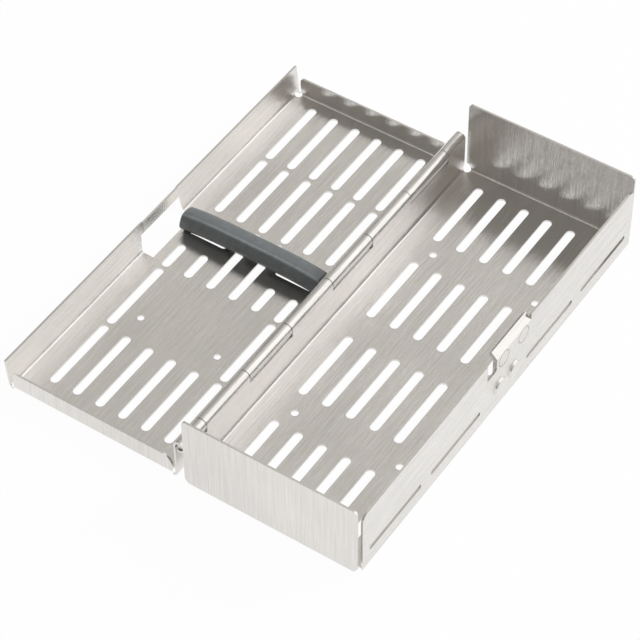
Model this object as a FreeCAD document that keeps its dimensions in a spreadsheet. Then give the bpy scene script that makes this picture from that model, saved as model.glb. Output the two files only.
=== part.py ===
import FreeCAD, Part
import Sketcher
import math
import os

# Instrument cassette of perforated sheet steel: a tray and a lid, each folded from one
# sheet, joined along one long side by rolled knuckles on a pin.  It is modelled open
# flat, the lid turned half a turn back beside the tray.
# Frame: origin in the middle of the tray's underside, X across (the lid lies towards -X),
# Y along the hinge, Z up.  Millimetres.

SIZES = {
    # folded sheet
    "sheet": 0.8,
    "bend": 1.0,
    "clearance": 0.3,
    # tray
    "length": 180.0,
    "width": 70.8,
    "height": 33.0,
    "outer_wall_height": 29.0,
    "wall_corner_radius": 3.0,
    "end_wall_inset": 0.9,
    "end_corner_radius": 1.5,
    "end_chamfer_width": 2.5,
    "end_chamfer_height": 3.0,
    "relief_radius": 1.5,
    "relief_inset": 1.75,
    "relief_height": 3.0,
    # hinge
    "pin_radius": 1.5,
    "pin_play": 0.05,
    "pin_recess": 0.6,
    "pin_chamfer": 0.3,
    "knuckle_pitch": 25.4,
    "curl_end": 300.0,
    # perforation
    "slot_width": 3.5,
    "slot_length": 31.5,
    "column_pitch": 9.8,
    "column_shift": 0.5,
    "row_a": 50.9,
    "row_b": 6.6,
    "row_c": -36.3,
    "row_d": -82.2,
    "floor_hole_radius": 1.4,
    "floor_hole_across": 21.4,
    "floor_hole_along": 44.5,
    # slits and pressed buttons in the tray's outer wall
    "wall_slit_height": 2.1,
    "wall_slit_length": 31.2,
    "wall_slit_level": 8.5,
    "wall_slit_first": 15.2,
    "wall_slit_pitch": 37.3,
    "button_radius": 3.8,
    "button_relief": 0.7,
    "button_level": 10.4,
    "button_first": -2.5,
    "button_pitch": 9.4,
    "button_slant": 35.0,
    # catch in the tray's outer wall
    "catch_front": -5.4,
    "catch_length": 22.2,
    "catch_drop": 2.4,
    "catch_angle": 45.0,
    "catch_notch_width": 6.1,
    "catch_notch_depth": 8.0,
    "catch_notch_radius": 1.0,
    "catch_plate_depth": 12.0,
    "rivet_level": 23.2,
    "rivet_first": -0.7,
    "rivet_pitch": 12.8,
    "rivet_head_radius": 3.2,
    "rivet_shank_radius": 1.6,
    "rivet_tail_radius": 2.6,
    "rivet_tail_height": 0.7,
    "rivet_play": 0.02,
    # lid
    "lid_wall_height": 13.2,
    "flange_height": 8.5,
    "flange_hinge_corner": 4.0,
    "flange_outer_corner": 1.5,
    "row_pitch": 32.9,
    "row_bridge": 1.4,
    "first_row": -79.5,
    "short_slot": 12.4,
    "lid_hole_radius": 1.3,
    "lid_hole_across": 16.6,
    "lid_hole_along": -38.4,
    # window and springy strip in the lid's outer wall
    "window_front": -12.4,
    "window_length": 25.7,
    "window_height": 8.4,
    "window_slant": 0.9,
    "window_bite": 5.0,
    "strip_front": -9.6,
    "strip_length": 20.9,
    "strip_set": 0.34,
    # soft bar that holds the instruments
    "bar_length": 61.0,
    "bar_front": 2.0,
    "bar_width": 9.0,
    "bar_height": 10.3,
    "bar_toe": 1.8,
    "bar_heel": 7.65,
    "bar_back_level": 3.09,
    "bar_shoulder": 8.82,
    "bar_shoulder_level": 8.034,
    "bar_shoulder_radius": 2.575,
    "bar_slope_foot": 7.2,
    "bar_slope_level": 9.476,
    "bar_slope_radius": 8.24,
    "bar_crest": 2.7,
    "bar_front_level": 6.18,
    "bar_front_radius": 8.24,
    "bar_slot_front": 5.0,
    "bar_slot_width": 3.0,
    "bar_slot_inner": 10.8,
    "bar_slot_outer": 27.0,
    "bar_play": 0.1,
}

doc = FreeCAD.newDocument("cassette")
sheet = doc.addObject("Spreadsheet::Sheet", "Sizes")
for row, (alias, value) in enumerate(SIZES.items(), 1):
    sheet.set("A%d" % row, alias)
    sheet.set("B%d" % row, str(value))
    sheet.setAlias("B%d" % row, alias)
doc.recompute()


def size(alias):
    """The name under which expressions read one cell of the sheet."""
    return "Sizes." + alias


T = size("sheet")
BEND = size("bend")
FOLD = "(%s + %s)" % (T, BEND)
GAP = size("clearance")
HALF_LENGTH = "(%s / 2)" % size("length")
HALF_WIDTH = "(%s / 2)" % size("width")
HEIGHT = size("height")
AXIS_LEVEL = "(%s / 2)" % HEIGHT
BORE = "(%s + %s)" % (size("pin_radius"), size("pin_play"))
CURL = "(%s + %s)" % (BORE, T)
AXIS_ACROSS = "(-%s - %s)" % (HALF_WIDTH, BORE)
# the tray's long walls stop short of its end walls, and the lid's end flanges run between
WALL_END = "(%s - 2 * %s - 2 * %s)" % (HALF_LENGTH, T, GAP)
LID_END = "(%s - %s - %s)" % (HALF_LENGTH, T, GAP)
# distances from the hinge axis to the tray's outer face and to the lid's outer fold
TRAY_REACH = "(%s + %s)" % (size("width"), BORE)
LID_REACH = "(%s + %s)" % (TRAY_REACH, GAP)
KNUCKLE = size("knuckle_pitch")
# columns of slots in either sheet, and the middle one's number when the first is 0
COLUMNS = 6
MIDDLE_COLUMN = (COLUMNS - 1) / 2
# a smaller change of volume than this counts as none
TRIFLE = 1e-6


class Profile:
    """A sketch on one of a body's origin planes, every point and radius tied to the sheet."""

    def __init__(self, body, name, role, shift=None):
        self.sketch = body.newObject("Sketcher::SketchObject", name)
        plane = [item for item in body.Origin.OriginFeatures if item.Role == role][0]
        self.sketch.AttachmentSupport = (plane, [""])
        self.sketch.MapMode = "FlatFace"
        if shift is not None:
            self.sketch.setExpression("AttachmentOffset.Base.z", shift)
        self.count = 0

    def value(self, expression):
        """The number that an expression gives now."""
        result = self.sketch.evalExpression(expression)
        return float(getattr(result, "Value", result))

    def tie(self, kind, arguments, expression):
        """Adds one driving constraint and binds it to its expression."""
        number = self.value(expression)
        index = self.sketch.addConstraint(Sketcher.Constraint(kind, *arguments, number))
        self.count += 1
        name = "size_%d" % self.count
        self.sketch.renameConstraint(index, name)
        self.sketch.setExpression("Constraints." + name, expression)

    def place(self, geometry, end, across, along):
        """Ties a point to its two coordinates."""
        self.tie("DistanceX", (-1, 1, geometry, end), across)
        self.tie("DistanceY", (-1, 1, geometry, end), along)

    def outline(self, points):
        """A closed outline.  Each point is (x, y), or (x, y, radius, turn) where an arc
        leads to the next point, turning left for +1 and right for -1."""
        places = [(self.value(point[0]), self.value(point[1])) for point in points]
        joints = []
        for index, point in enumerate(points):
            start = FreeCAD.Vector(*places[index], 0)
            stop = FreeCAD.Vector(*places[(index + 1) % len(points)], 0)
            if len(point) == 2:
                geometry = self.sketch.addGeometry(Part.LineSegment(start, stop), False)
                joints.append((geometry, 1, 2))
                continue
            radius = self.value(point[2])
            turn = point[3]
            chord = stop - start
            rise = math.sqrt(radius ** 2 - chord.Length ** 2 / 4)
            side = FreeCAD.Vector(-chord.y, chord.x, 0) / chord.Length
            centre = (start + stop) / 2 + side * rise * turn
            first, last = (start, stop) if turn > 0 else (stop, start)
            angles = [math.atan2(spot.y - centre.y, spot.x - centre.x) for spot in (first, last)]
            if angles[1] < angles[0]:
                angles[1] += 2 * math.pi
            circle = Part.Circle(centre, FreeCAD.Vector(0, 0, 1), radius)
            geometry = self.sketch.addGeometry(Part.ArcOfCircle(circle, *angles), False)
            joints.append((geometry, 1, 2) if turn > 0 else (geometry, 2, 1))
            self.tie("Radius", (geometry,), point[2])
        for index, (geometry, start, stop) in enumerate(joints):
            following = joints[(index + 1) % len(joints)]
            link = Sketcher.Constraint("Coincident", geometry, stop, following[0], following[1])
            self.sketch.addConstraint(link)
            self.place(geometry, start, points[index][0], points[index][1])

    def circle(self, across, along, radius):
        """A circle tied at its centre and radius."""
        centre = FreeCAD.Vector(self.value(across), self.value(along), 0)
        normal = FreeCAD.Vector(0, 0, 1)
        geometry = self.sketch.addGeometry(Part.Circle(centre, normal, self.value(radius)), False)
        self.tie("Radius", (geometry,), radius)
        self.place(geometry, 3, across, along)

    def slot(self, start, stop, along, width):
        """A slot with round ends between two points given as (x, y); along is 0 when it
        runs in the sketch's x direction and 1 when it runs in its y direction."""
        radius = "(%s / 2)" % width
        inset = self.value(radius)
        ends = [FreeCAD.Vector(self.value(spot[0]), self.value(spot[1]), 0) for spot in (start, stop)]
        run = FreeCAD.Vector(1 - along, along, 0)
        side = FreeCAD.Vector(-run.y, run.x, 0) * inset
        centres = [ends[0] + run * inset, ends[1] - run * inset]
        turn = math.atan2(run.y, run.x)
        normal = FreeCAD.Vector(0, 0, 1)
        quarter = math.pi / 2
        caps = []
        for centre, first in ((centres[0], turn + quarter), (centres[1], turn - quarter)):
            circle = Part.Circle(centre, normal, inset)
            cap = Part.ArcOfCircle(circle, first, first + math.pi)
            caps.append(self.sketch.addGeometry(cap, False))
        lower = Part.LineSegment(centres[0] - side, centres[1] - side)
        upper = Part.LineSegment(centres[1] + side, centres[0] + side)
        lines = [self.sketch.addGeometry(line, False) for line in (lower, upper)]
        joints = ((caps[0], 2, lines[0], 1), (lines[0], 2, caps[1], 1))
        for joint in joints + ((caps[1], 2, lines[1], 1), (lines[1], 2, caps[0], 1)):
            self.sketch.addConstraint(Sketcher.Constraint("Tangent", *joint))
        shift = [radius if along == 0 else "0", radius if along == 1 else "0"]
        for cap, spot, sign in ((caps[0], start, "+"), (caps[1], stop, "-")):
            self.tie("Radius", (cap,), radius)
            across = "%s %s %s" % (spot[0], sign, shift[0])
            self.place(cap, 3, across, "%s %s %s" % (spot[1], sign, shift[1]))


class Piece:
    """One sub-part: a body whose features are added one after another."""

    def __init__(self, label):
        self.body = doc.addObject("PartDesign::Body", label)
        self.body.Label = label

    def profile(self, name, role, shift=None):
        return Profile(self.body, name, role, shift)

    def volume(self):
        return self.body.Shape.Volume

    def pad(self, profile, length, midplane=True, backwards=False, taper=None):
        """Adds material along the sketch's normal."""
        before = 0.0 if self.body.Tip is None else self.volume()
        feature = self.body.newObject("PartDesign::Pad", profile.sketch.Name + "_pad")
        feature.Profile = profile.sketch
        feature.setExpression("Length", length)
        feature.Midplane = midplane
        feature.Reversed = backwards
        if taper is not None:
            feature.setExpression("TaperAngle", taper)
        self.finish(feature)
        if self.volume() <= before:
            raise RuntimeError(feature.Name + " adds nothing")
        return feature

    def cut(self, profile, length, midplane=False, backwards=False, taper=None):
        """Takes material away along the sketch's normal."""
        before = self.volume()
        feature = self.body.newObject("PartDesign::Pocket", profile.sketch.Name + "_cut")
        feature.Profile = profile.sketch
        feature.setExpression("Length", length)
        feature.Midplane = midplane
        feature.Reversed = backwards
        if taper is not None:
            feature.setExpression("TaperAngle", taper)
        self.finish(feature)
        if self.volume() >= before:
            raise RuntimeError(feature.Name + " cuts nothing")
        return feature

    def row(self, feature, role, pitch, copies):
        """Repeats a feature along one of the body's own axes."""
        before = self.volume()
        pattern = self.body.newObject("PartDesign::LinearPattern", feature.Name + "_row")
        pattern.Originals = [feature]
        axis = [item for item in self.body.Origin.OriginFeatures if item.Role == role][0]
        pattern.Direction = (axis, [""])
        pattern.Mode = "Spacing"
        pattern.setExpression("Offset", pitch)
        pattern.Occurrences = copies
        self.finish(pattern)
        if abs(self.volume() - before) < TRIFLE:
            raise RuntimeError(pattern.Name + " changes nothing")
        return pattern

    def finish(self, feature):
        self.body.Tip = feature
        doc.recompute()
        if "Invalid" in feature.State or "Error" in feature.State:
            raise RuntimeError(feature.Name + " failed")

    def stand(self, across=None, along=None, level=None):
        """Ties the body's place to the sheet."""
        for axis, expression in (("x", across), ("y", along), ("z", level)):
            if expression is not None:
                self.body.setExpression("Placement.Base." + axis, expression)
        doc.recompute()


def polar(centre, radius, angle, axis):
    """One coordinate of a point on a circle, the angle in degrees."""
    function = "cos" if axis == 0 else "sin"
    return "%s + %s * %s((%s) * 1 deg)" % (centre[axis], radius, function, angle)


def folded_trough(profile, left, right, top_left, top_right):
    """The section of a sheet folded up at both sides, the folds' outer faces at left and
    right."""
    profile.outline([
        ("%s + %s" % (left, FOLD), "0"),
        ("%s - %s" % (right, FOLD), "0", FOLD, 1),
        (right, FOLD),
        (right, top_right),
        ("%s - %s" % (right, T), top_right),
        ("%s - %s" % (right, T), FOLD, BEND, -1),
        ("%s - %s" % (right, FOLD), T),
        ("%s + %s" % (left, FOLD), T, BEND, -1),
        ("%s + %s" % (left, T), FOLD),
        ("%s + %s" % (left, T), top_left),
        (left, top_left),
        (left, FOLD, FOLD, 1),
    ])


def corner_waste(profile, edge, top, radius, side):
    """What a round corner leaves off: side is 1 at the sketch's right and -1 at its left."""
    inner = "%s - %d * %s" % (edge, side, radius)
    lower = "%s - %s" % (top, radius)
    if side > 0:
        profile.outline([(edge, lower, radius, 1), (inner, top), (edge, top)])
    else:
        profile.outline([(inner, top, radius, 1), (edge, lower), (edge, top)])


def rectangle(profile, left, right, bottom, top):
    """A plain four-sided outline."""
    profile.outline([(left, bottom), (right, bottom), (right, top), (left, top)])


def curl(centre, side):
    """The points of a rolled hinge edge, in the order in which the section runs: from the
    wall along one face of the roll to its free end, and back along the other.  The wall
    stands on the +X side of the axis for side 1, where the outside of the roll comes
    first, and on the -X side for side -1, where the bore does."""
    stops = ["0", "(%s / 2)" % size("curl_end"), size("curl_end")]
    first, last = CURL, BORE
    if side < 0:
        stops = ["180 - " + stop for stop in stops]
        first, last = last, first
    away = [(polar(centre, first, stop, 0), polar(centre, first, stop, 1)) for stop in stops]
    back = [(polar(centre, last, stop, 0), polar(centre, last, stop, 1)) for stop in stops]
    return [away[0] + (first, side), away[1] + (first, side), away[2],
            back[2] + (last, -side), back[1] + (last, -side), back[0]]


def hinge_gap(piece, name, first, inner_face):
    """Cuts one gap in a hinge wall for a knuckle of the other part, from the wall's inner
    face out past the roll.  It ends a clearance below the roll and is wider than the
    knuckle by that clearance."""
    gap = piece.profile(name, "YZ_Plane", inner_face)
    start = "%s * %s - %s / 2" % (first, KNUCKLE, GAP)
    stop = "(%s + 1) * %s + %s / 2" % (first, KNUCKLE, GAP)
    rectangle(gap, start, stop, "%s - %s - %s" % (AXIS_LEVEL, CURL, GAP),
              "%s + %s + %s" % (AXIS_LEVEL, CURL, GAP))
    return piece.cut(gap, "2 * (%s + %s)" % (CURL, GAP))


def slot_rows(profile, across, rows, length):
    """Slots of one column, one for each row's front end."""
    for front in rows:
        profile.slot((across, front), (across, "%s + %s" % (front, length)), 1, size("slot_width"))


# The tray, folded from one sheet.
tray = Piece("tray_shell")

ends = tray.profile("tray_ends", "YZ_Plane")
folded_trough(ends, "-" + HALF_LENGTH, HALF_LENGTH, HEIGHT, HEIGHT)
END_EDGE = "(%s - %s)" % (HALF_WIDTH, size("end_wall_inset"))
tray.pad(ends, "2 * " + END_EDGE)

end_corners = tray.profile("tray_end_corners", "XZ_Plane")
for side in (1, -1):
    edge = "%d * %s" % (side, END_EDGE)
    inner = "%s - %d * %s" % (edge, side, size("end_chamfer_width"))
    triangle = [(inner, "0"), (edge, "0"), (edge, size("end_chamfer_height"))]
    end_corners.outline(triangle if side > 0 else triangle[::-1])
    corner_waste(end_corners, edge, HEIGHT, size("end_corner_radius"), side)
tray.cut(end_corners, "2 * " + size("length"), midplane=True)

# long section: the outer wall at +X, the hinge wall at -X with its rolled edge
TRAY_AXIS = (AXIS_ACROSS, AXIS_LEVEL)
INNER_LEFT = "(-%s + %s)" % (HALF_WIDTH, T)
INNER_RIGHT = "(%s - %s)" % (HALF_WIDTH, T)
trough = tray.profile("tray_trough", "XZ_Plane")
trough.outline([
    ("-%s + %s" % (HALF_WIDTH, FOLD), "0"),
    ("%s - %s" % (HALF_WIDTH, FOLD), "0", FOLD, 1),
    (HALF_WIDTH, FOLD),
    (HALF_WIDTH, size("outer_wall_height")),
    (INNER_RIGHT, size("outer_wall_height")),
    (INNER_RIGHT, FOLD, BEND, -1),
    ("%s - %s" % (HALF_WIDTH, FOLD), T),
    ("-%s + %s" % (HALF_WIDTH, FOLD), T, BEND, -1),
    (INNER_LEFT, FOLD),
] + curl(TRAY_AXIS, 1) + [
    ("-" + HALF_WIDTH, FOLD, FOLD, 1),
])
tray.pad(trough, "2 * " + WALL_END)

# the lid's knuckles take every second place, counted from the hinge's middle
lid_gap = hinge_gap(tray, "tray_knuckle_gap", "-4", INNER_LEFT)
tray.row(lid_gap, "Y_Axis", "2 * " + KNUCKLE, 4)

relief = tray.profile("tray_relief", "XY_Plane")
for across in (1, -1):
    for along in (1, -1):
        relief.circle("%d * (%s - %s)" % (across, HALF_WIDTH, size("relief_inset")),
                      "%d * (%s - %s)" % (along, HALF_LENGTH, size("relief_inset")),
                      size("relief_radius"))
tray.cut(relief, size("relief_height"), backwards=True)

wall_corners = tray.profile("tray_wall_corners", "YZ_Plane")
for side in (1, -1):
    corner_waste(wall_corners, "%d * %s" % (side, WALL_END), size("outer_wall_height"),
                 size("wall_corner_radius"), side)
tray.cut(wall_corners, size("width"), backwards=True)

# floor: one column of slots repeated across, and four small round holes
column = tray.profile("tray_slots", "XY_Plane")
FRONTS = [size("row_" + letter) for letter in "abcd"]
slot_rows(column, "%s - %s * %s" % (size("column_shift"), MIDDLE_COLUMN, size("column_pitch")), FRONTS,
          size("slot_length"))
tray.row(tray.cut(column, T, backwards=True), "X_Axis", size("column_pitch"), COLUMNS)

holes = tray.profile("tray_holes", "XY_Plane")
for across in (1, -1):
    for along in (1, -1):
        holes.circle("%s + %d * %s" % (size("column_shift"), across, size("floor_hole_across")),
                     "%d * %s" % (along, size("floor_hole_along")), size("floor_hole_radius"))
tray.cut(holes, T, backwards=True)

# outer wall: long slits, two each way from the middle
slits = tray.profile("tray_slits", "YZ_Plane")
for place in ("0", "1"):
    near = "(%s + %s * %s)" % (size("wall_slit_first"), place, size("wall_slit_pitch"))
    far = "(%s + %s)" % (near, size("wall_slit_length"))
    level = size("wall_slit_level")
    slits.slot((near, level), (far, level), 0, size("wall_slit_height"))
    slits.slot(("-" + far, level), ("-" + near, level), 0, size("wall_slit_height"))
tray.cut(slits, size("width"), backwards=True)

# two round buttons pressed outward, hollow from inside
BUTTONS = ["(%s + %d * %s)" % (size("button_first"), step, size("button_pitch")) for step in (0, 1)]
buttons = tray.profile("tray_buttons", "YZ_Plane", HALF_WIDTH)
for along in BUTTONS:
    buttons.circle(along, size("button_level"), size("button_radius"))
tray.pad(buttons, size("button_relief"), midplane=False, taper="-" + size("button_slant"))
hollows = tray.profile("tray_button_hollows", "YZ_Plane", INNER_RIGHT)
for along in BUTTONS:
    hollows.circle(along, size("button_level"), "%s - %s / 2" % (size("button_radius"), T))
tray.cut(hollows, size("button_relief"), backwards=True, taper="-" + size("button_slant"))

# catch: a notch, and beside it the wall's edge bent inward as a slope for the lid's strip
CATCH_TOP = size("outer_wall_height")
CATCH_BACK = "(%s + %s)" % (size("catch_front"), size("catch_length"))
NOTCH_FRONT = "(%s - %s)" % (size("catch_front"), size("catch_notch_width"))
NOTCH_FLOOR = "(%s - %s)" % (CATCH_TOP, size("catch_notch_depth"))
NOTCH_ROUND = size("catch_notch_radius")
notch = tray.profile("catch_notch", "YZ_Plane")
notch.outline([
    (NOTCH_FRONT, "%s + %s" % (NOTCH_FLOOR, NOTCH_ROUND), NOTCH_ROUND, 1),
    ("%s + %s" % (NOTCH_FRONT, NOTCH_ROUND), NOTCH_FLOOR),
    ("%s - %s" % (size("catch_front"), NOTCH_ROUND), NOTCH_FLOOR, NOTCH_ROUND, 1),
    (size("catch_front"), "%s + %s" % (NOTCH_FLOOR, NOTCH_ROUND)),
    (size("catch_front"), CATCH_TOP),
    (NOTCH_FRONT, CATCH_TOP),
])
tray.cut(notch, size("width"), backwards=True)

SLOPE_START = "(%s - %s)" % (CATCH_TOP, size("catch_drop"))
SLOPE = "(%s * 1 deg)" % size("catch_angle")
SLOPE_TIP = "(%s - %s * tan(%s))" % (HALF_WIDTH, size("catch_drop"), SLOPE)
CATCH_MIDDLE = "(-%s - %s / 2)" % (size("catch_front"), size("catch_length"))
step = tray.profile("catch_step", "YZ_Plane")
rectangle(step, size("catch_front"), CATCH_BACK, SLOPE_START, CATCH_TOP)
tray.cut(step, size("width"), backwards=True)


def sloped_face(depth):
    """Two points of the face that lies a depth inside the catch's outer face: where it
    leaves the upright wall, and its upper edge."""
    bend = ("%s - %s" % (HALF_WIDTH, depth), "%s - %s * tan(%s / 2)" % (SLOPE_START, depth, SLOPE))
    tip = ("%s - %s * cos(%s)" % (SLOPE_TIP, depth, SLOPE),
           "%s - %s * sin(%s)" % (CATCH_TOP, depth, SLOPE))
    return [bend, tip]


lip = tray.profile("catch_lip", "XZ_Plane", CATCH_MIDDLE)
lip.outline(sloped_face("0") + sloped_face(T)[::-1])
tray.pad(lip, size("catch_length"))

RIVETS = ["(%s + %d * %s)" % (size("rivet_first"), step, size("rivet_pitch")) for step in (0, 1)]
seats = tray.profile("rivet_seats", "YZ_Plane")
for along in RIVETS:
    seats.circle(along, size("rivet_level"), "%s + %s" % (size("rivet_head_radius"), size("rivet_play")))
tray.cut(seats, size("width"), backwards=True)

# The catch plate behind the wall, held by two flush rivets.
plate = Piece("latch_plate")
backing = plate.profile("plate_section", "XZ_Plane", CATCH_MIDDLE)
outer_face = sloped_face(T)
inner_face = sloped_face("(2 * %s)" % T)
PLATE_FLOOR = "(%s - %s)" % (CATCH_TOP, size("catch_plate_depth"))
backing.outline([
    (outer_face[0][0], PLATE_FLOOR),
    outer_face[0],
    outer_face[1],
    inner_face[1],
    inner_face[0],
    (inner_face[0][0], PLATE_FLOOR),
])
plate.pad(backing, size("catch_length"))
shanks = plate.profile("plate_holes", "YZ_Plane")
for along in RIVETS:
    shanks.circle(along, size("rivet_level"), "%s + %s" % (size("rivet_shank_radius"), size("rivet_play")))
plate.cut(shanks, size("width"), backwards=True)

rivets = []
for name, along in zip(("latch_rivet_front", "latch_rivet_back"), RIVETS):
    rivet = Piece(name)
    turned = rivet.profile(name + "_section", "XY_Plane")
    tail = "(-2 * %s - %s)" % (T, size("rivet_tail_height"))
    turned.outline([
        ("0", "0"),
        (tail, "0"),
        (tail, size("rivet_tail_radius")),
        ("-2 * %s" % T, size("rivet_tail_radius")),
        ("-2 * %s" % T, size("rivet_shank_radius")),
        ("-" + T, size("rivet_shank_radius")),
        ("-" + T, size("rivet_head_radius")),
        ("0", size("rivet_head_radius")),
    ])
    turn = rivet.body.newObject("PartDesign::Revolution", name + "_turned")
    turn.Profile = turned.sketch
    turn.ReferenceAxis = (turned.sketch, ["H_Axis"])
    turn.Angle = 360
    rivet.finish(turn)
    rivet.stand(HALF_WIDTH, along, size("rivet_level"))
    rivets.append(rivet)

# The hinge pin.
pin = Piece("hinge_pin")
PIN_FRONT = "(-%s + %s)" % (LID_END, size("pin_recess"))
PIN_BACK = "(%s - %s)" % (WALL_END, size("pin_recess"))
turned = pin.profile("pin_section", "XY_Plane")
PIN = size("pin_radius")
EASE = size("pin_chamfer")
turned.outline([
    ("0", PIN_FRONT),
    ("%s - %s" % (PIN, EASE), PIN_FRONT),
    (PIN, "%s + %s" % (PIN_FRONT, EASE)),
    (PIN, "%s - %s" % (PIN_BACK, EASE)),
    ("%s - %s" % (PIN, EASE), PIN_BACK),
    ("0", PIN_BACK),
])
turn = pin.body.newObject("PartDesign::Revolution", "pin_turned")
turn.Profile = turned.sketch
turn.ReferenceAxis = (turned.sketch, ["V_Axis"])
turn.Angle = 360
pin.finish(turn)
pin.stand(AXIS_ACROSS, None, AXIS_LEVEL)

# The lid, its own frame's Y axis under the hinge axis.
lid = Piece("lid_shell")
LID_AXIS = ("0", AXIS_LEVEL)
LID_TOP = size("lid_wall_height")
# the fold of the outer wall, and the lean that carries the wall's tip clear of the tray
FOLD_CENTRE = "(-%s + %s)" % (LID_REACH, BEND)
WALL_RISE = "(%s - %s)" % (size("outer_wall_height"), AXIS_LEVEL)
TIP_DROP = "(%s - %s)" % (AXIS_LEVEL, LID_TOP)
CORNER_REACH = "(sqrt(%s ^ 2 + %s ^ 2) + %s)" % (TRAY_REACH, WALL_RISE, GAP)
TIP_REACH = "sqrt(%s ^ 2 - %s ^ 2)" % (CORNER_REACH, TIP_DROP)
TIP_OUT = "(%s + %s)" % (TIP_REACH, FOLD_CENTRE)
TIP_UP = "(%s - %s)" % (LID_TOP, FOLD)
LEAN = "(acos(%s / sqrt(%s ^ 2 + %s ^ 2)) - atan(%s / %s))" % (BEND, TIP_OUT, TIP_UP, TIP_UP, TIP_OUT)
lid_section = lid.profile("lid_section", "XZ_Plane")
lid_section.outline([
    (FOLD_CENTRE, "0"),
    ("-%s - %s" % (BORE, FOLD), "0", FOLD, 1),
    ("-" + BORE, FOLD),
] + curl(LID_AXIS, -1) + [
    ("-" + CURL, FOLD, BEND, -1),
    ("-%s - %s" % (BORE, FOLD), T),
    (FOLD_CENTRE, T, BEND, -1),
    ("%s - %s * cos(%s)" % (FOLD_CENTRE, BEND, LEAN), "%s - %s * sin(%s)" % (FOLD, BEND, LEAN)),
    ("-%s" % TIP_REACH, LID_TOP),
    ("-%s - %s * cos(%s)" % (TIP_REACH, T, LEAN), "%s - %s * sin(%s)" % (LID_TOP, T, LEAN)),
    ("%s - %s * cos(%s)" % (FOLD_CENTRE, FOLD, LEAN), "%s - %s * sin(%s)" % (FOLD, FOLD, LEAN), FOLD, 1),
])
lid.pad(lid_section, "2 * " + LID_END)

tray_gap = hinge_gap(lid, "lid_knuckle_gap", "-3", CURL)
lid.row(tray_gap, "Y_Axis", "2 * " + KNUCKLE, 4)

# end flanges between the long walls: the flat floor gives way to their fold
FLAT_LEFT = FOLD_CENTRE
FLAT_RIGHT = "(-%s - %s)" % (BORE, FOLD)
floor_ends = lid.profile("lid_floor_ends", "XY_Plane")
for side in (1, -1):
    near = "%d * (%s - %s)" % (side, LID_END, FOLD)
    far = "%d * %s" % (side, LID_END)
    rectangle(floor_ends, FLAT_LEFT, FLAT_RIGHT, *((near, far) if side > 0 else (far, near)))
lid.cut(floor_ends, T, backwards=True)

FLANGE_LEFT = "(%s + %s)" % (FLAT_LEFT, GAP)
FLANGE_RIGHT = "(%s - %s)" % (FLAT_RIGHT, GAP)
flanges = lid.profile("lid_flanges", "YZ_Plane", "(%s + %s) / 2" % (FLANGE_LEFT, FLANGE_RIGHT))
folded_trough(flanges, "-" + LID_END, LID_END, size("flange_height"), size("flange_height"))
lid.pad(flanges, "%s - %s" % (FLANGE_RIGHT, FLANGE_LEFT))

flange_corners = lid.profile("lid_flange_corners", "XZ_Plane")
corner_waste(flange_corners, FLANGE_RIGHT, size("flange_height"), size("flange_hinge_corner"), 1)
corner_waste(flange_corners, FLANGE_LEFT, size("flange_height"), size("flange_outer_corner"), -1)
lid.cut(flange_corners, size("length"), midplane=True)

lid_relief = lid.profile("lid_relief", "XY_Plane")
for along in (1, -1):
    level = "%d * (%s - %s)" % (along, LID_END, size("relief_inset"))
    lid_relief.circle("-%s - %s" % (BORE, size("relief_inset")), level, size("relief_radius"))
    lid_relief.circle("-%s - %s + %s" % (LID_REACH, T, size("relief_inset")), level, size("relief_radius"))
lid.cut(lid_relief, size("relief_height"), backwards=True)

# perforation: full columns, and two rows left short or open beside the soft bar
LID_MIDDLE = "(-(%s + %s + %s) / 2)" % (BORE, LID_REACH, T)


def lid_column(number):
    """Where one of the lid's six columns lies, counted from the outer wall."""
    return "%s + (%d - %s) * %s" % (LID_MIDDLE, number, MIDDLE_COLUMN, size("column_pitch"))


def lid_row(number):
    """The front end of one of the lid's five rows, counted from the front."""
    return "(%s + %d * %s)" % (size("first_row"), number, size("row_pitch"))


full = lid.profile("lid_slots", "XY_Plane")
LID_SLOT = "(%s - %s)" % (size("row_pitch"), size("row_bridge"))
slot_rows(full, lid_column(0), [lid_row(number) for number in (0, 3, 4)], LID_SLOT)
lid.row(lid.cut(full, T, backwards=True), "X_Axis", size("column_pitch"), COLUMNS)
outer = lid.profile("lid_outer_slots", "XY_Plane")
for number in (0, 5):
    slot_rows(outer, lid_column(number), [lid_row(1)], LID_SLOT)
for number in (0, 1, 4, 5):
    slot_rows(outer, lid_column(number), [lid_row(2)], size("short_slot"))
for number in (2, 3):
    slot_rows(outer, lid_column(number), [lid_row(2)], LID_SLOT)
for side in (1, -1):
    outer.circle("%s + %d * %s" % (LID_MIDDLE, side, size("lid_hole_across")), size("lid_hole_along"),
                 size("lid_hole_radius"))
lid.cut(outer, T, backwards=True)

# two slots across the lid take the soft bar's feet
BAR_SLOT_MIDDLE = "(%s + %s / 2)" % (size("bar_slot_front"), size("bar_slot_width"))
across_slots = lid.profile("lid_bar_slots", "XY_Plane")
for side in (1, -1):
    ends = ["%s + %d * %s" % (LID_MIDDLE, side, size(name)) for name in ("bar_slot_inner", "bar_slot_outer")]
    first, last = ends if side > 0 else ends[::-1]
    across_slots.slot((first, BAR_SLOT_MIDDLE), (last, BAR_SLOT_MIDDLE), 0, size("bar_slot_width"))
lid.cut(across_slots, T, backwards=True)

# window through the outer wall and into the lid's flat
WINDOW_BACK = "(%s + %s)" % (size("window_front"), size("window_length"))
window = lid.profile("lid_window", "YZ_Plane", "-%s + %s" % (LID_REACH, size("window_bite")))
window.outline([
    (size("window_front"), "0"),
    (WINDOW_BACK, "0"),
    ("%s - %s" % (WINDOW_BACK, size("window_slant")), size("window_height")),
    ("%s + %s" % (size("window_front"), size("window_slant")), size("window_height")),
])
lid.cut(window, size("window_bite") + " + 3 * " + FOLD)

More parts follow.
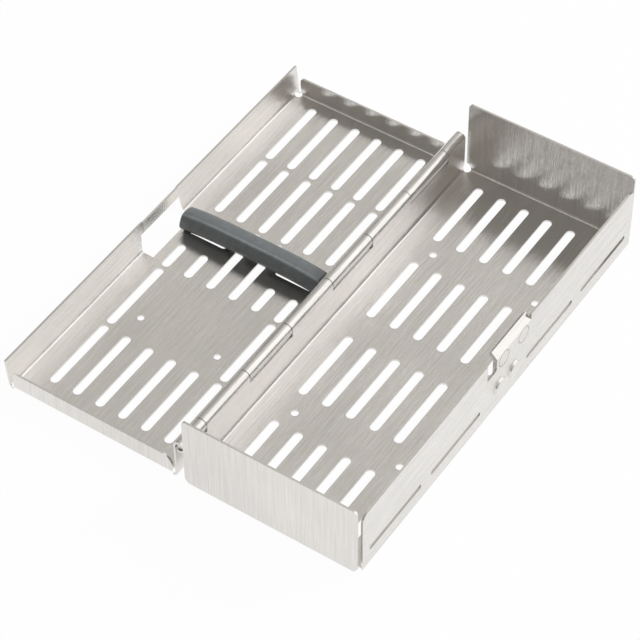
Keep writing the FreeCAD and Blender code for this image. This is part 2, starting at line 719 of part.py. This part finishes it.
# the springy middle of the strip above the window, set back towards the tray
STRIP_BACK = "(%s + %s)" % (size("strip_front"), size("strip_length"))
strip_room = lid.profile("lid_strip_room", "YZ_Plane", FOLD_CENTRE)
rectangle(strip_room, size("strip_front"), STRIP_BACK, size("window_height"), LID_TOP)
STRIP_RISE = "(%s - %s)" % (LID_TOP, size("window_height"))
lid.cut(strip_room, "4 * " + FOLD)
strip = lid.profile("lid_strip", "XZ_Plane", "-%s - %s / 2" % (size("strip_front"), size("strip_length")))
FOOT_INNER = "(-%s + %s * tan(%s))" % (TIP_REACH, STRIP_RISE, LEAN)
TIP_INNER = "(-%s + %s)" % (TIP_REACH, size("strip_set"))
THICK = "(%s / cos(%s))" % (T, LEAN)
strip.outline([
    ("%s - %s" % (FOOT_INNER, THICK), size("window_height")),
    (FOOT_INNER, size("window_height")),
    (TIP_INNER, LID_TOP),
    ("%s - %s" % (TIP_INNER, THICK), LID_TOP),
])
lid.pad(strip, size("strip_length"))
lid.stand(AXIS_ACROSS)

# The soft bar: a rounded ridge with two feet through the lid.
bar = Piece("holding_bar")
front = size("bar_front")


def bar_point(across, level):
    """A point of the bar's section, from its front edge and the lid's upper face."""
    return ("%s + %s" % (front, across), "%s + %s" % (T, level))


# steep bulging front, crest near the front, long slope behind
section = bar.profile("bar_section", "YZ_Plane")
section.outline([
    bar_point(size("bar_toe"), "0"),
    bar_point(size("bar_heel"), "0"),
    bar_point(size("bar_width"), size("bar_back_level")),
    bar_point(size("bar_shoulder"), size("bar_shoulder_level")) + (size("bar_shoulder_radius"), 1),
    bar_point(size("bar_slope_foot"), size("bar_slope_level")),
    bar_point(size("bar_crest"), size("bar_height")) + (size("bar_slope_radius"), 1),
    bar_point("0", size("bar_front_level")) + (size("bar_front_radius"), 1),
])
bar.pad(section, size("bar_length"))
feet = bar.profile("bar_feet", "XY_Plane")
FOOT_WIDTH = "(%s - 2 * %s)" % (size("bar_slot_width"), size("bar_play"))
for side in (1, -1):
    ends = ["%d * (%s + %s)" % (side, size("bar_slot_inner"), size("bar_play")),
            "%d * (%s - %s)" % (side, size("bar_slot_outer"), size("bar_play"))]
    first, last = ends if side > 0 else ends[::-1]
    feet.slot((first, BAR_SLOT_MIDDLE), (last, BAR_SLOT_MIDDLE), 0, FOOT_WIDTH)
bar.pad(feet, "2 * " + T, midplane=False)
bar.stand("%s + %s" % (AXIS_ACROSS, LID_MIDDLE))

# The checks, then one file for each sub-part.
doc.recompute()
pieces = [tray, lid, pin, plate, bar] + rivets
for item in doc.Objects:
    if "Invalid" in item.State or "Error" in item.State:
        raise RuntimeError("%s is in a failed state" % item.Name)
for piece in pieces:
    shape = piece.body.Shape
    if shape.isNull() or not shape.isValid() or len(shape.Solids) != 1:
        raise RuntimeError("%s is not one valid solid" % piece.body.Label)
os.makedirs("parts", exist_ok=True)
for piece in pieces:
    piece.body.Shape.exportStep("parts/%s.step" % piece.body.Label)
    box = piece.body.Shape.BoundBox
    print(piece.body.Label, round(piece.volume(), 1), [round(value, 2) for value in
          (box.XMin, box.YMin, box.ZMin, box.XMax, box.YMax, box.ZMax)])
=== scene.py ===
"""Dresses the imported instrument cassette: brushed sheet steel, a satin hinge pin and a soft
grey holding bar, on a plain pale stage seen from the photograph's side."""

import math

import bpy
import numpy as np
from mathutils import Matrix, Vector


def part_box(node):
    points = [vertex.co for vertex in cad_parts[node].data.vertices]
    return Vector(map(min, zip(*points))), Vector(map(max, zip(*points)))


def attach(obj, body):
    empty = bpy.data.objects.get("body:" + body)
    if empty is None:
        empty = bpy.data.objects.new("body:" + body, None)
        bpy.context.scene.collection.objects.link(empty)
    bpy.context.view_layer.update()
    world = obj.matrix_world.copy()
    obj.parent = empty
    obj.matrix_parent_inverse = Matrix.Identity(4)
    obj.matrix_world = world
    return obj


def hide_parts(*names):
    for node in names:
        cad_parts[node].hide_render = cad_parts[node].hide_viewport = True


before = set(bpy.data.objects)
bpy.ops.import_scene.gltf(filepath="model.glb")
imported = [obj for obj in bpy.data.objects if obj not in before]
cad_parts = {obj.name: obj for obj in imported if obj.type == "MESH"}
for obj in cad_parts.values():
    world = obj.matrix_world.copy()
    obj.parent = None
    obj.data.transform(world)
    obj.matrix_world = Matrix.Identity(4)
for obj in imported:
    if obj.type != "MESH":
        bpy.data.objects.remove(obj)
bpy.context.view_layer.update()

bl_info = {
    "name": "Instrument cassette dressing",
    "version": (1, 0, 0),
    "blender": (4, 5, 0),
    "location": "View3D > Sidebar > Cassette",
    "description": "Gives the folded steel cassette its finishes, its soft bar and its stage",
    "category": "Object",
}

MM = 0.001
SHEET = 0.8 * MM

# The soft bar: its section as shares of its width and height, the share of the width at which
# its crest runs, and the level above which a painted highlight runs along the crest.
BAR_SECTION = (
    (0.31, 0.00), (0.55, 0.00), (0.80, 0.00), (0.96, 0.07), (1.00, 0.28), (1.00, 0.53),
    (0.985, 0.73), (0.92, 0.86), (0.78, 0.94), (0.60, 0.985), (0.44, 1.00), (0.325, 0.99),
    (0.235, 0.93), (0.13, 0.78), (0.065, 0.62), (0.03, 0.46), (0.075, 0.335), (0.19, 0.16))
BAR_CREST = 0.29
CREST_LEVEL = 7.0 * MM

# The bar's feet: how far each stands from the bar's middle along x, their line in y, and half
# their length.  The lift keeps soft pieces just clear of what is under them.
FOOT_REACH = 18.9 * MM
FOOT_LINE = 7.1 * MM
FOOT_HALF_LENGTH = 8.0 * MM
LIFT = 0.02 * MM

# The studio: towards its two bright sides, and how nearly a direction points at the first
# where shade turns to sky and where sky turns to glow.
GLOW_SIDE = (0.53, 0.615, 0.585)
CROWN_SIDE = (-0.47, -0.13, 0.87)
SHADE_TO_SKY = (-0.10, 0.58)
SKY_TO_GLOW = (0.70, 0.92)
WARM = (1.0, 0.975, 0.935)
WHITE = (1.0, 1.0, 1.0)
LAMP_DISTANCE = 1.5
KEY_SIZE = 0.5
CROWN_SIZE = 0.15

# The floor, and how nearly it shows plain white to the camera and in mirrors.
FLOOR_REACH = 4.0
FLOOR_LEVEL = -0.2 * MM
FLOOR_WHITENESS = 0.97

# The camera's own axes, its sensor's width in millimetres and how many metres it sees.
CAMERA_RIGHT = (0.830349, 0.557196, -0.007258)
CAMERA_UP = (-0.412026, 0.622678, 0.665212)
SENSOR_WIDTH = 36.0
SIGHT = 20.0


# Settings

class CassetteSteelSettings(bpy.types.PropertyGroup):
    """Colours and grain of the sheet and the pin."""

    sheet_colour: bpy.props.FloatVectorProperty(
        name="Sheet colour", description="Base colour of the brushed sheet", subtype="COLOR",
        size=3, min=0.0, max=1.0, default=(0.782, 0.760, 0.732))
    pin_colour: bpy.props.FloatVectorProperty(
        name="Pin colour", description="Base colour of the hinge pin", subtype="COLOR",
        size=3, min=0.0, max=1.0, default=(0.690, 0.670, 0.645))
    roughness: bpy.props.FloatProperty(
        name="Roughness", description="Mean roughness of the brushed sheet", subtype="FACTOR",
        min=0.0, max=1.0, default=0.16)
    grain_width: bpy.props.FloatProperty(
        name="Grain width", description="Width of one brush line", subtype="DISTANCE",
        unit="LENGTH", min=0.00005, max=0.005, default=0.00011)
    grain_length: bpy.props.FloatProperty(
        name="Grain length", description="Length of one brush line", subtype="DISTANCE",
        unit="LENGTH", min=0.001, max=0.2, default=0.012)
    grain_depth: bpy.props.FloatProperty(
        name="Grain depth", description="Strength of the brush lines' relief", subtype="FACTOR",
        min=0.0, max=1.0, default=0.80)


class CassetteBarSettings(bpy.types.PropertyGroup):
    """Shape and colour of the soft holding bar."""

    colour: bpy.props.FloatVectorProperty(
        name="Bar colour", description="Base colour of the soft bar", subtype="COLOR", size=3,
        min=0.0, max=1.0, default=(0.175, 0.190, 0.200))
    arch: bpy.props.FloatProperty(
        name="Arch", description="How far the bar's middle stands above its ends",
        subtype="DISTANCE", unit="LENGTH", min=0.0, max=0.005, default=0.0016)
    outer_gap: bpy.props.FloatProperty(
        name="Outer gap", description="How far the bar stays back from its solid's outer end",
        subtype="DISTANCE", unit="LENGTH", min=0.0, max=0.005, default=0.0013)
    end_round: bpy.props.FloatProperty(
        name="End round", description="Radius that eases the bar's two ends",
        subtype="DISTANCE", unit="LENGTH", min=0.0001, max=0.003, default=0.0006)
    foot_width: bpy.props.FloatProperty(
        name="Foot width", description="Width of the feet that pass through the lid",
        subtype="DISTANCE", unit="LENGTH", min=0.001, max=0.003, default=0.0015)


class CassetteStageSettings(bpy.types.PropertyGroup):
    """Floor, lamps and camera."""

    floor_colour: bpy.props.FloatVectorProperty(
        name="Floor colour", description="Colour of the plain floor", subtype="COLOR", size=3,
        min=0.0, max=1.0, default=(0.90, 0.90, 0.90))
    sky_level: bpy.props.FloatProperty(
        name="Sky level", description="Strength of the light from above",
        min=0.0, max=3.0, default=0.62)
    shade_level: bpy.props.FloatProperty(
        name="Shade level", description="Strength of the light from the front left",
        min=0.0, max=3.0, default=0.27)
    glow_level: bpy.props.FloatProperty(
        name="Glow level", description="Strength of the light from the back right",
        min=0.0, max=3.0, default=1.32)
    key_power: bpy.props.FloatProperty(
        name="Key power", description="Power of the broad lamp at the back right",
        subtype="POWER", min=0.0, max=100.0, default=8.0)
    crown_power: bpy.props.FloatProperty(
        name="Crown power", description="Power of the small lamp overhead",
        subtype="POWER", min=0.0, max=100.0, default=0.25)
    focal_length: bpy.props.FloatProperty(
        name="Focal length", description="Camera lens for a 36 mm sensor",
        min=20.0, max=400.0, default=151.89)
    camera_place: bpy.props.FloatVectorProperty(
        name="Camera place", description="Where the camera stands", subtype="TRANSLATION",
        unit="LENGTH", size=3, default=(0.321066, -0.529252, 0.714287))


# Shader maths

class Wire:
    """One shader socket that can be used in ordinary arithmetic."""

    def __init__(self, graph, socket):
        self.graph = graph
        self.socket = socket

    def _maths(self, operation, *values):
        return self.graph.node("ShaderNodeMath", {"operation": operation},
                               dict(enumerate(values)))[0]

    def __add__(self, other):
        return self._maths("ADD", self, other)

    __radd__ = __add__

    def __mul__(self, other):
        return self._maths("MULTIPLY", self, other)

    __rmul__ = __mul__

    def __sub__(self, other):
        return self._maths("SUBTRACT", self, other)

    def __rsub__(self, other):
        return self._maths("SUBTRACT", other, self)

    def __pow__(self, other):
        return self._maths("POWER", self, other)

    def __abs__(self):
        return self._maths("ABSOLUTE", self)

    def within(self, low, high):
        """A soft step from 0 at low to 1 at high."""
        return self.graph.node("ShaderNodeMapRange", {"interpolation_type": "SMOOTHSTEP"},
                               {"Value": self, "From Min": low, "From Max": high})[0]


class Outputs:
    """A node's outputs as wires."""

    def __init__(self, graph, made):
        self.graph = graph
        self.made = made

    def __getitem__(self, key):
        return Wire(self.graph, self.made.outputs[key])


class Graph:
    """The nodes of one material or world."""

    def __init__(self, owner):
        owner.use_nodes = True
        self.tree = owner.node_tree
        self.tree.nodes.clear()

    def node(self, kind, settings=None, sockets=None):
        """Adds a node: its settings first, then the values or links of its sockets.  The
        outputs come back as wires, to be taken by number or by name."""
        made = self.tree.nodes.new(kind)
        for key, value in (settings or {}).items():
            setattr(made, key, value)
        for key, value in (sockets or {}).items():
            if isinstance(value, Wire):
                self.tree.links.new(value.socket, made.inputs[key])
            else:
                made.inputs[key].default_value = value
        return Outputs(self, made)

    def mix(self, factor, first, second):
        """A colour between two colours."""
        return self.node("ShaderNodeMix", {"data_type": "RGBA"},
                         {0: factor, 6: opaque(first), 7: opaque(second)})[2]

    def coordinates(self, output):
        """The parts x, y and z of object coordinates or of the normal."""
        vector = self.node("ShaderNodeTexCoord")[output]
        return self.node("ShaderNodeSeparateXYZ", None, {"Vector": vector})

    def noise(self, scale, detail=2.0, rough=0.5):
        """Noise between 0 and 1 over object coordinates, as many spots to a metre along each
        axis as scale says."""
        stretched = self.node("ShaderNodeMapping", None, {
            "Vector": self.node("ShaderNodeTexCoord")["Object"], "Scale": scale})
        return self.node("ShaderNodeTexNoise", None, {
            "Vector": stretched[0], "Scale": 1.0, "Detail": detail, "Roughness": rough})[0]


def opaque(colour):
    """A colour with its alpha, or the wire as it is."""
    return colour if isinstance(colour, Wire) else (*tuple(colour)[:3], 1.0)


def shade(colour, factor):
    """A colour made lighter or darker by one factor."""
    return tuple(channel * factor for channel in colour)


# Finishes

def close_finish(graph, colour, rough, metallic, height, strength, depth):
    """Ends a finish with the relief of a height, the shader and the output."""
    bump = graph.node("ShaderNodeBump", None,
                      {"Strength": strength, "Distance": depth, "Height": height})
    surface = graph.node("ShaderNodeBsdfPrincipled", None, {
        "Base Color": colour, "Roughness": rough, "Metallic": metallic,
        "Normal": bump["Normal"]})
    graph.node("ShaderNodeOutputMaterial", None, {"Surface": surface[0]})


def rivet_outline(place, along, level, radius):
    """1 on a thin circle about (y, z) = (along, level), down to 0 on both sides of it."""
    edge = (0.08 * MM, 0.30 * MM)
    across = place[1] - along
    up = place[2] - level
    distance = (across * across + up * up) ** 0.5
    return 1.0 - abs(distance - radius).within(*edge)


def brushed_sheet(name, settings, marks):
    """Brushed sheet: fine lines along the hinge on the flat and the long walls, turning up
    the end walls as they do on a folded sheet, with broader bands, soft stains and a darker
    outline round each flush rivet in marks (y, z, radius)."""
    wall_facing = (0.55, 0.85)
    line_detail, line_rough = 3.0, 0.62
    band_across, band_along = 0.16, 0.5
    stain_scale, stain_detail, stain_rough = 26.0, 3.0, 0.55
    line_tone, band_tone, stain_tone = 0.60, 0.45, 0.45
    darkest, lightest = 0.80, 1.15
    line_gloss, stain_gloss = 0.20, 0.10
    line_relief, band_relief = 0.7, 0.3
    relief_depth = 0.08 * MM
    metallic = 0.93
    outline_strength, outline_shade, outline_relief = 0.55, 0.30, 2.0

    material = bpy.data.materials.new(name)
    graph = Graph(material)
    place = graph.coordinates("Object")
    wall = abs(graph.coordinates("Normal")[0]).within(*wall_facing)
    fine = 1.0 / settings.grain_width
    long = 1.0 / settings.grain_length
    flat_lines = graph.noise((fine, long, long), line_detail, line_rough)
    wall_lines = graph.noise((long, long, fine), line_detail, line_rough)
    lines = flat_lines * (1.0 - wall) + wall_lines * wall
    fine, long = fine * band_across, long * band_along
    bands = graph.noise((fine, long, long)) * (1.0 - wall) + graph.noise((long, long, fine)) * wall
    stain = graph.noise((stain_scale,) * 3, stain_detail, stain_rough)

    tone = (lines - 0.5) * line_tone + (bands - 0.5) * band_tone + (stain - 0.5) * stain_tone
    colour = graph.mix((tone + 0.5).within(0.0, 1.0), shade(settings.sheet_colour, darkest),
                       shade(settings.sheet_colour, lightest))
    rough = settings.roughness + (lines - 0.5) * line_gloss + (stain - 0.5) * stain_gloss
    height = lines * line_relief + bands * band_relief
    if marks:
        outlines = sum(rivet_outline(place, *mark) for mark in marks)
        colour = graph.mix(outlines * outline_strength, colour,
                           shade(settings.sheet_colour, outline_shade))
        height = height - outlines * outline_relief
    close_finish(graph, colour, rough, metallic, height, settings.grain_depth, relief_depth)
    return material


def satin_steel(name, settings):
    """Turned and ground steel of the pin: fine rings along it and a little dullness."""
    ring_scale = (300.0, 2600.0, 300.0)
    stain_scale = 300.0
    ring_tone, stain_tone = 0.6, 0.4
    tone_span = (0.2, 0.8)
    darkest, lightest = 0.80, 1.12
    roughness, ring_gloss = 0.28, 0.2
    ring_strength, ring_depth = 0.08, 0.05 * MM

    material = bpy.data.materials.new(name)
    graph = Graph(material)
    rings = graph.noise(ring_scale)
    stain = graph.noise((stain_scale,) * 3)
    tone = (rings * ring_tone + stain * stain_tone).within(*tone_span)
    colour = graph.mix(tone, shade(settings.pin_colour, darkest),
                       shade(settings.pin_colour, lightest))
    rough = roughness + (rings - 0.5) * ring_gloss
    close_finish(graph, colour, rough, 1.0, rings, ring_strength, ring_depth)
    return material


def soft_rubber(name, colour, crest, level):
    """Silicone rubber: even, slightly chalky, with a very fine moulded texture, and a painted
    highlight: lighter in a thin line at y = crest, above z = level."""
    dust_scale, dust_detail, dust_rough = 420.0, 3.0, 0.6
    grain_scale = 2600.0
    dust_tone, grain_tone = 0.7, 0.3
    tone_span = (0.25, 0.75)
    darkest, lightest, painted_highlight = 0.88, 1.14, 2.1
    highlight_edge, highlight_rise, highlight_strength = (0.15 * MM, 0.75 * MM), 1.0 * MM, 0.75
    roughness, dust_gloss = 0.22, 0.08
    grain_strength, grain_depth = 0.10, 0.1 * MM

    material = bpy.data.materials.new(name)
    graph = Graph(material)
    place = graph.coordinates("Object")
    dust = graph.noise((dust_scale,) * 3, dust_detail, dust_rough)
    grain = graph.noise((grain_scale,) * 3)
    tone = (dust * dust_tone + grain * grain_tone).within(*tone_span)
    tint = graph.mix(tone, shade(colour, darkest), shade(colour, lightest))
    # Painted highlight: a thin lighter line along the crest stands in for the light the crest
    # catches, its strength varied by the dust noise.
    line = 1.0 - abs(place[1] - crest).within(*highlight_edge)
    line = line * place[2].within(level, level + highlight_rise)
    tint = graph.mix(line * (highlight_strength + (dust - 0.5)), tint, shade(colour, painted_highlight))
    rough = roughness + (dust - 0.5) * dust_gloss
    close_finish(graph, tint, rough, 0.0, grain, grain_strength, grain_depth)
    return material


def put_material(node, material):
    """Gives a CAD node one material."""
    node.data.materials.clear()
    node.data.materials.append(material)


# Surfaces

def mesh_from_grid(name, points, material):
    """A closed tube from a grid of points: rows run along the piece, columns go round it,
    and the first and last rows are closed by a fan about their mean point."""
    rows, columns = points.shape[:2]
    index = np.arange(rows * columns).reshape(rows, columns)
    here, ahead = index[:-1], index[1:]
    quads = np.stack([here, np.roll(here, -1, 1), np.roll(ahead, -1, 1), ahead], -1)
    first = rows * columns
    last = first + 1
    start = np.stack([np.full(columns, first), np.roll(index[0], -1), index[0]], -1)
    stop = np.stack([np.full(columns, last), index[-1], np.roll(index[-1], -1)], -1)
    vertices = np.concatenate([points.reshape(-1, 3), points[:1].mean(1), points[-1:].mean(1)])
    faces = quads.reshape(-1, 4).tolist() + start.tolist() + stop.tolist()
    mesh = bpy.data.meshes.new(name)
    mesh.from_pydata(vertices.tolist(), [], faces)
    mesh.polygons.foreach_set("use_smooth", np.ones(len(faces), dtype=bool))
    mesh.materials.append(material)
    mesh.update()
    piece = bpy.data.objects.new(name, mesh)
    bpy.context.scene.collection.objects.link(piece)
    return piece


def bar_points(low, high, base, arch, ease):
    """The soft bar's surface.  The section is a closed curve in y and z through the points
    of BAR_SECTION, joined by a periodic cubic blend.  It stands on z = base.  Along x the
    whole section rises by arch times one minus the fourth power of the distance from the
    middle over half the length, and over the last ease of the length it shrinks about its
    own middle as a quarter circle does."""
    span_steps, end_rows, middle_rows = 8, 7, 63
    width = high[1] - low[1]
    tall = high[2] - base - arch
    corners = np.array(BAR_SECTION)
    t = np.linspace(0.0, 1.0, span_steps, endpoint=False)[None, :, None]
    before, here, there, after = (np.roll(corners, shift, 0)[:, None, :]
                                  for shift in (1, 0, -1, -2))
    section = 0.5 * (2 * here + (there - before) * t
                     + (2 * before - 5 * here + 4 * there - after) * t ** 2
                     + (3 * here - before - 3 * there + after) * t ** 3)
    section = np.clip(section.reshape(-1, 2), 0.0, 1.0)
    half = (high[0] - low[0]) / 2
    turn = np.linspace(0.0, math.pi / 2, end_rows)
    cap = half - ease + ease * np.sin(turn)
    inner = np.linspace(-(half - ease), half - ease, middle_rows + 2)[1:-1]
    along = np.concatenate([-cap[::-1], inner, cap])
    eased = 1 - ease * (1 - np.cos(turn)) / (tall / 2)
    shrink = np.concatenate([eased[::-1], np.ones(len(inner)), eased])
    middle = section.mean(0)
    rows = middle + (section[None] - middle) * shrink[:, None, None]
    rise = arch * (1 - (along / half) ** 4)
    x = np.broadcast_to(along[:, None] + (low[0] + high[0]) / 2, rows.shape[:2])
    y = low[1] + rows[..., 0] * width
    z = base + rows[..., 1] * tall + rise[:, None]
    return np.stack([x, y, z], -1)


def foot_points(centre, half_length, half_width, bottom, top):
    """One foot: a stadium outline, straight sides and half-round ends, carried straight up
    in z, with the bottom drawn in by a small ease."""
    outline_steps = 48
    ease = 0.15 * MM
    turn = np.linspace(0.0, 2 * math.pi, outline_steps, endpoint=False)
    run = half_length - half_width
    along = np.sign(np.cos(turn)) * run + half_width * np.cos(turn)
    across = half_width * np.sin(turn)
    levels = np.array([bottom, bottom + ease, top])
    drawn_in = np.array([ease, 0.0, 0.0])
    scale = 1.0 - drawn_in[:, None] / np.hypot(along, across)[None, :]
    x = centre[0] + along * scale
    y = centre[1] + across * scale
    z = np.broadcast_to(levels[:, None], x.shape)
    return np.stack([x, y, z], -1)


# Operators

class CASSETTE_OT_sheets(bpy.types.Operator):
    """Gives the folded tray, the lid, the catch plate and its rivets their brushed finish"""

    bl_idname = "cassette.sheets"
    bl_label = "Brush the sheets"

    def execute(self, context):
        settings = context.scene.cassette_steel
        rivets = ("latch_rivet_front", "latch_rivet_back")
        marks = []
        for name in rivets:
            low, high = (np.array(corner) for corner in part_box(name))
            middle = (low + high) / 2
            marks.append((float(middle[1]), float(middle[2]), float(high[2] - low[2]) / 2))
        tray = brushed_sheet("brushed_tray", settings, marks)
        lid = brushed_sheet("brushed_lid", settings, [])
        for name in ("tray_shell",) + rivets:
            put_material(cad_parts[name], tray)
        for name in ("lid_shell", "latch_plate"):
            put_material(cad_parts[name], lid)
        return {"FINISHED"}


class CASSETTE_OT_pin(bpy.types.Operator):
    """Gives the hinge pin its ground finish"""

    bl_idname = "cassette.pin"
    bl_label = "Finish the pin"

    def execute(self, context):
        steel = satin_steel("ground_pin", context.scene.cassette_steel)
        put_material(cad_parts["hinge_pin"], steel)
        return {"FINISHED"}


class CASSETTE_OT_bar(bpy.types.Operator):
    """Makes the soft holding bar with its two feet"""

    bl_idname = "cassette.bar"
    bl_label = "Make the holding bar"

    def execute(self, context):
        settings = context.scene.cassette_bar
        low, high = (np.array(corner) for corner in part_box("holding_bar"))
        middle = (low + high) / 2
        low[0] += settings.outer_gap
        # The painted highlight runs along the crest at this y.
        crest = low[1] + BAR_CREST * (high[1] - low[1])
        rubber = soft_rubber("soft_bar", settings.colour, float(crest), CREST_LEVEL)
        points = bar_points(low, high, SHEET + LIFT, settings.arch, settings.end_round)
        pieces = [mesh_from_grid("bar_ridge", points, rubber)]
        for side, name in ((-1, "bar_foot_outer"), (1, "bar_foot_inner")):
            centre = (middle[0] + side * FOOT_REACH, FOOT_LINE)
            points = foot_points(centre, FOOT_HALF_LENGTH, settings.foot_width / 2,
                                 LIFT, 2 * SHEET + settings.arch)
            pieces.append(mesh_from_grid(name, points, rubber))
        for piece in pieces:
            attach(piece, "lid")
            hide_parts("holding_bar")
        return {"FINISHED"}


class CASSETTE_OT_stage(bpy.types.Operator):
    """Sets the floor, the light and the camera"""

    bl_idname = "cassette.stage"
    bl_label = "Set the stage"

    def execute(self, context):
        settings = context.scene.cassette_stage
        lay_floor(settings)
        hang_lamps(settings)
        aim_camera(settings)
        context.scene.view_settings.view_transform = "Standard"
        return {"FINISHED"}


def lay_floor(settings):
    """A wide square under the object that shows plain white behind it and in its mirrors, and
    keeps its shadow."""
    mesh = bpy.data.meshes.new("floor")
    corners = [(side * FLOOR_REACH, end * FLOOR_REACH, FLOOR_LEVEL)
               for side, end in ((-1, -1), (1, -1), (1, 1), (-1, 1))]
    mesh.from_pydata(corners, [], [(0, 1, 2, 3)])
    floor = bpy.data.objects.new("floor", mesh)
    bpy.context.scene.collection.objects.link(floor)
    material = bpy.data.materials.new("pale_floor")
    graph = Graph(material)
    rays = graph.node("ShaderNodeLightPath")
    seen = rays["Is Camera Ray"] + rays["Is Glossy Ray"] + rays["Is Transmission Ray"]
    paint = graph.node("ShaderNodeBsdfDiffuse", None, {"Color": opaque(settings.floor_colour)})
    glow = graph.node("ShaderNodeEmission", None, {"Color": opaque(WHITE), "Strength": 1.0})
    blend = graph.node("ShaderNodeMixShader", None, {
        0: seen.within(0.0, 1.0) * FLOOR_WHITENESS, 1: paint[0], 2: glow[0]})
    graph.node("ShaderNodeOutputMaterial", None, {"Surface": blend[0]})
    mesh.materials.append(material)


def hang_lamps(settings):
    """The studio's light: dim from the front left, even from above and bright from the back
    right, with a broad lamp there that mirrors don't show and a small lamp overhead."""
    world = bpy.data.worlds.new("studio")
    bpy.context.scene.world = world
    graph = Graph(world)
    direction = graph.node("ShaderNodeTexCoord")["Generated"]
    toward = Vector(GLOW_SIDE).normalized()
    nearness = graph.node("ShaderNodeVectorMath", {"operation": "DOT_PRODUCT"},
                          {0: direction, 1: tuple(toward)})["Value"]
    sky = nearness.within(*SHADE_TO_SKY)
    glow = nearness.within(*SKY_TO_GLOW)
    strength = (settings.shade_level + sky * (settings.sky_level - settings.shade_level)
                + glow * (settings.glow_level - settings.sky_level))
    light = graph.node("ShaderNodeBackground", None,
                       {"Color": graph.mix(glow, WARM, WHITE), "Strength": strength})
    graph.node("ShaderNodeOutputWorld", None, {"Surface": light[0]})
    hang_lamp("key", GLOW_SIDE, KEY_SIZE, settings.key_power, False)
    hang_lamp("crown", CROWN_SIDE, CROWN_SIZE, settings.crown_power, True)


def hang_lamp(name, side, size, power, mirrored):
    """One round lamp towards a side, aimed at the object, that mirrors show or don't."""
    lamp = bpy.data.lights.new(name, "AREA")
    lamp.shape = "DISK"
    lamp.size = size
    lamp.energy = power
    item = bpy.data.objects.new(name, lamp)
    item.location = Vector(side).normalized() * LAMP_DISTANCE
    item.rotation_euler = (-Vector(side)).to_track_quat("-Z", "Y").to_euler()
    item.visible_glossy = mirrored
    bpy.context.scene.collection.objects.link(item)


def aim_camera(settings):
    """The camera at the photograph's place, its axes given by its own right, up and back."""
    lens = bpy.data.cameras.new("camera")
    lens.sensor_width = SENSOR_WIDTH
    lens.lens = settings.focal_length
    lens.clip_end = SIGHT
    camera = bpy.data.objects.new("camera", lens)
    right, up = Vector(CAMERA_RIGHT), Vector(CAMERA_UP)
    turn = Matrix((right, up, right.cross(up))).transposed().to_4x4()
    camera.matrix_world = Matrix.Translation(Vector(settings.camera_place)) @ turn
    bpy.context.scene.collection.objects.link(camera)
    bpy.context.scene.camera = camera


class CASSETTE_PT_panel(bpy.types.Panel):
    """Lists the steps that dress the cassette"""

    bl_label = "Instrument cassette"
    bl_idname = "CASSETTE_PT_panel"
    bl_space_type = "VIEW_3D"
    bl_region_type = "UI"
    bl_category = "Cassette"

    def draw(self, context):
        for step in STEPS:
            self.layout.operator(step.bl_idname)
        for group, _ in GROUPS:
            settings = getattr(context.scene, group)
            box = self.layout.box()
            for name in settings.bl_rna.properties.keys():
                if name not in ("rna_type", "name"):
                    box.prop(settings, name)


GROUPS = (("cassette_steel", CassetteSteelSettings), ("cassette_bar", CassetteBarSettings),
          ("cassette_stage", CassetteStageSettings))
STEPS = (CASSETTE_OT_sheets, CASSETTE_OT_pin, CASSETTE_OT_bar, CASSETTE_OT_stage)


def register():
    for name, group in GROUPS:
        bpy.utils.register_class(group)
        setattr(bpy.types.Scene, name, bpy.props.PointerProperty(type=group))
    for step in STEPS + (CASSETTE_PT_panel,):
        bpy.utils.register_class(step)


def unregister():
    for step in (CASSETTE_PT_panel,) + STEPS[::-1]:
        bpy.utils.unregister_class(step)
    for name, group in GROUPS[::-1]:
        delattr(bpy.types.Scene, name)
        bpy.utils.unregister_class(group)


def main():
    """Registers the add-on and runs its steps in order."""
    register()
    for step in STEPS:
        family, action = step.bl_idname.split(".")
        getattr(getattr(bpy.ops, family), action)()


if __name__ == "__main__":
    main()
